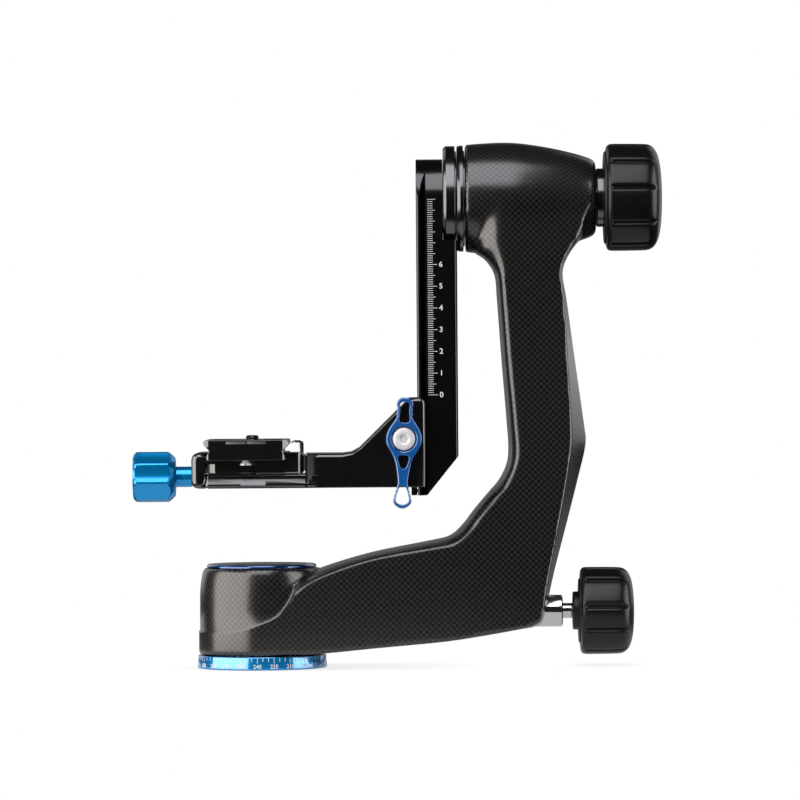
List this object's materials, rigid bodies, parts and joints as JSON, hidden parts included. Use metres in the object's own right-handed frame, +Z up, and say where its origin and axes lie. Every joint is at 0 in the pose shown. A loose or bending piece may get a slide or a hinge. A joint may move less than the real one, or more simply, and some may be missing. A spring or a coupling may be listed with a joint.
{
  "type": "gimbal tripod head",
  "caption": "Side-mounted gimbal head with a bent carbon arm, a hanging rail, a height-adjustable quick-release platform and rubber lock knobs.",
  "frame": {"origin": "centre of the base disc's underside, on the pan axis, where the tripod screw enters", "axes": "+Z up along the pan axis, +X from the platform towards the lock knobs along the tilt axis, lens axis along Y"},
  "size_m": [0.2459, 0.07, 0.2424],
  "materials": {
    "carbon": "woven carbon under a satin clear coat",
    "black_anodised": "black anodised, fine satin",
    "blue_anodised": "blue anodised, bright satin",
    "raw_aluminium": "machined",
    "steel": "machined, fine",
    "chrome": "polished",
    "bronze": "sintered bearing bronze",
    "rubber": "black, satin",
    "black_plastic": "moulded, matt",
    "clear_plastic": "clear level vial"
  },
  "bodies": {
    "base": {"base_disc": "blue_anodised", "tripod_thread_insert": "steel", "base_screw_1": "steel", "base_screw_2": "steel", "base_screw_3": "steel", "pan_spindle": "steel", "pan_inner_race": "steel", "pan_seal_ring": "rubber", "pan_retaining_nut": "steel"},
    "pan_ball_set": {"pan_bearing_balls": "steel"},
    "arm": {"arm_shell": "carbon", "pan_housing_sleeve": "raw_aluminium", "pan_outer_race": "steel", "pan_top_bush": "bronze", "pan_trim_ring": "blue_anodised", "pan_top_cap": "black_anodised", "pan_lock_guide": "chrome", "tilt_housing_sleeve": "raw_aluminium", "tilt_outer_race": "steel", "tilt_rear_bush": "bronze", "tilt_front_ring": "black_anodised", "tilt_rear_collar": "black_anodised"},
    "pan_brake": {"pan_brake_shoe": "bronze"},
    "pan_lock": {"pan_lock_rod": "chrome", "pan_lock_core": "black_plastic", "pan_lock_back_plate": "black_plastic", "pan_lock_grip": "rubber"},
    "swing": {"tilt_shaft": "steel", "tilt_inner_race": "steel", "hub_flange": "black_anodised", "hub_screw_1": "steel", "hub_screw_2": "steel", "hub_screw_3": "steel", "swing_rail": "black_anodised", "rail_stop": "black_anodised", "rail_stop_screw": "steel"},
    "tilt_ball_set": {"tilt_bearing_balls": "steel"},
    "tilt_press": {"tilt_thrust_washer": "steel"},
    "tilt_lock": {"tilt_lock_core": "black_plastic", "tilt_lock_back_plate": "black_plastic", "tilt_lock_grip": "rubber"},
    "platform": {"platform_bracket": "black_anodised", "clamp_body": "black_anodised", "clamp_bolt_front": "steel", "clamp_bolt_back": "steel", "jaw_pin_front": "steel", "jaw_pin_back": "steel", "jaw_spring": "steel", "bubble_level": "clear_plastic"},
    "rail_shoe": {"rail_clamp_shoe": "bronze"},
    "lever": {"height_lever": "blue_anodised", "lever_screw": "chrome"},
    "jaw": {"moving_jaw": "black_anodised"},
    "clamp_turn": {"clamp_knob": "blue_anodised", "clamp_screw": "steel"},
    "plate": {"camera_plate": "black_anodised", "plate_pad": "rubber", "plate_stop_front": "chrome", "plate_stop_back": "chrome"},
    "mount_screw": {"camera_screw": "chrome"}
  },
  "joints": [
    {"name": "pan", "type": "hinge", "parent": "base", "child": "arm", "pos_m": [0, 0, 0], "axis": [0, 0, 1], "continuous": true},
    {"name": "pan_ball_roll", "type": "hinge", "parent": "base", "child": "pan_ball_set", "pos_m": [0, 0, 0.0145], "axis": [0, 0, 1], "continuous": true},
    {"name": "pan_brake_slide", "type": "slide", "parent": "arm", "child": "pan_brake", "axis": [1, 0, 0], "range_m": [0, 0.001]},
    {"name": "pan_lock_turn", "type": "hinge", "parent": "pan_brake", "child": "pan_lock", "pos_m": [0.15, 0, 0.0253], "axis": [1, 0, 0], "range_deg": [0, 360]},
    {"name": "tilt", "type": "hinge", "parent": "arm", "child": "swing", "pos_m": [0.1, 0, 0.2166], "axis": [1, 0, 0], "continuous": true},
    {"name": "tilt_ball_roll", "type": "hinge", "parent": "arm", "child": "tilt_ball_set", "pos_m": [0.1, 0, 0.2166], "axis": [1, 0, 0], "continuous": true},
    {"name": "tilt_press_slide", "type": "slide", "parent": "swing", "child": "tilt_press", "axis": [1, 0, 0], "range_m": [0, 0.001]},
    {"name": "tilt_lock_turn", "type": "hinge", "parent": "tilt_press", "child": "tilt_lock", "pos_m": [0.17, 0, 0.2166], "axis": [1, 0, 0], "range_deg": [0, 360]},
    {"name": "height", "type": "slide", "parent": "swing", "child": "platform", "axis": [0, 0, 1], "range_m": [0, 0.065]},
    {"name": "lever_turn", "type": "hinge", "parent": "platform", "child": "lever", "pos_m": [0.0664, -0.023, 0.1057], "axis": [0, -1, 0], "range_deg": [0, 60]},
    {"name": "rail_shoe_slide", "type": "slide", "parent": "platform", "child": "rail_shoe", "axis": [-1, 0, 0], "range_m": [0, 0.0002]},
    {"name": "jaw_slide", "type": "slide", "parent": "platform", "child": "jaw", "axis": [-1, 0, 0], "range_m": [0, 0.004]},
    {"name": "clamp_knob_turn", "type": "hinge", "parent": "jaw", "child": "clamp_turn", "pos_m": [-0.04, 0, 0.0886], "axis": [-1, 0, 0], "range_deg": [0, 1440]},
    {"name": "plate_slide", "type": "slide", "parent": "platform", "child": "plate", "axis": [0, 1, 0], "range_m": [-0.0035, 0.0035]},
    {"name": "camera_screw_turn", "type": "hinge", "parent": "plate", "child": "mount_screw", "pos_m": [-0.0039, 0, 0.1], "axis": [0, 0, 1], "continuous": true}
  ],
  "couplings": [
    {"joint": "pan_ball_roll", "follows": "pan", "ratio": 0.559},
    {"joint": "tilt_ball_roll", "follows": "tilt", "ratio": 0.43},
    {"joint": "pan_lock_turn", "follows": "pan_brake_slide", "rad_per_m": 6283.2},
    {"joint": "tilt_lock_turn", "follows": "tilt_press_slide", "rad_per_m": 6283.2},
    {"joint": "rail_shoe_slide", "follows": "lever_turn", "m_per_rad": 0.00019},
    {"joint": "clamp_knob_turn", "follows": "jaw_slide", "rad_per_m": 6283.2}
  ]
}
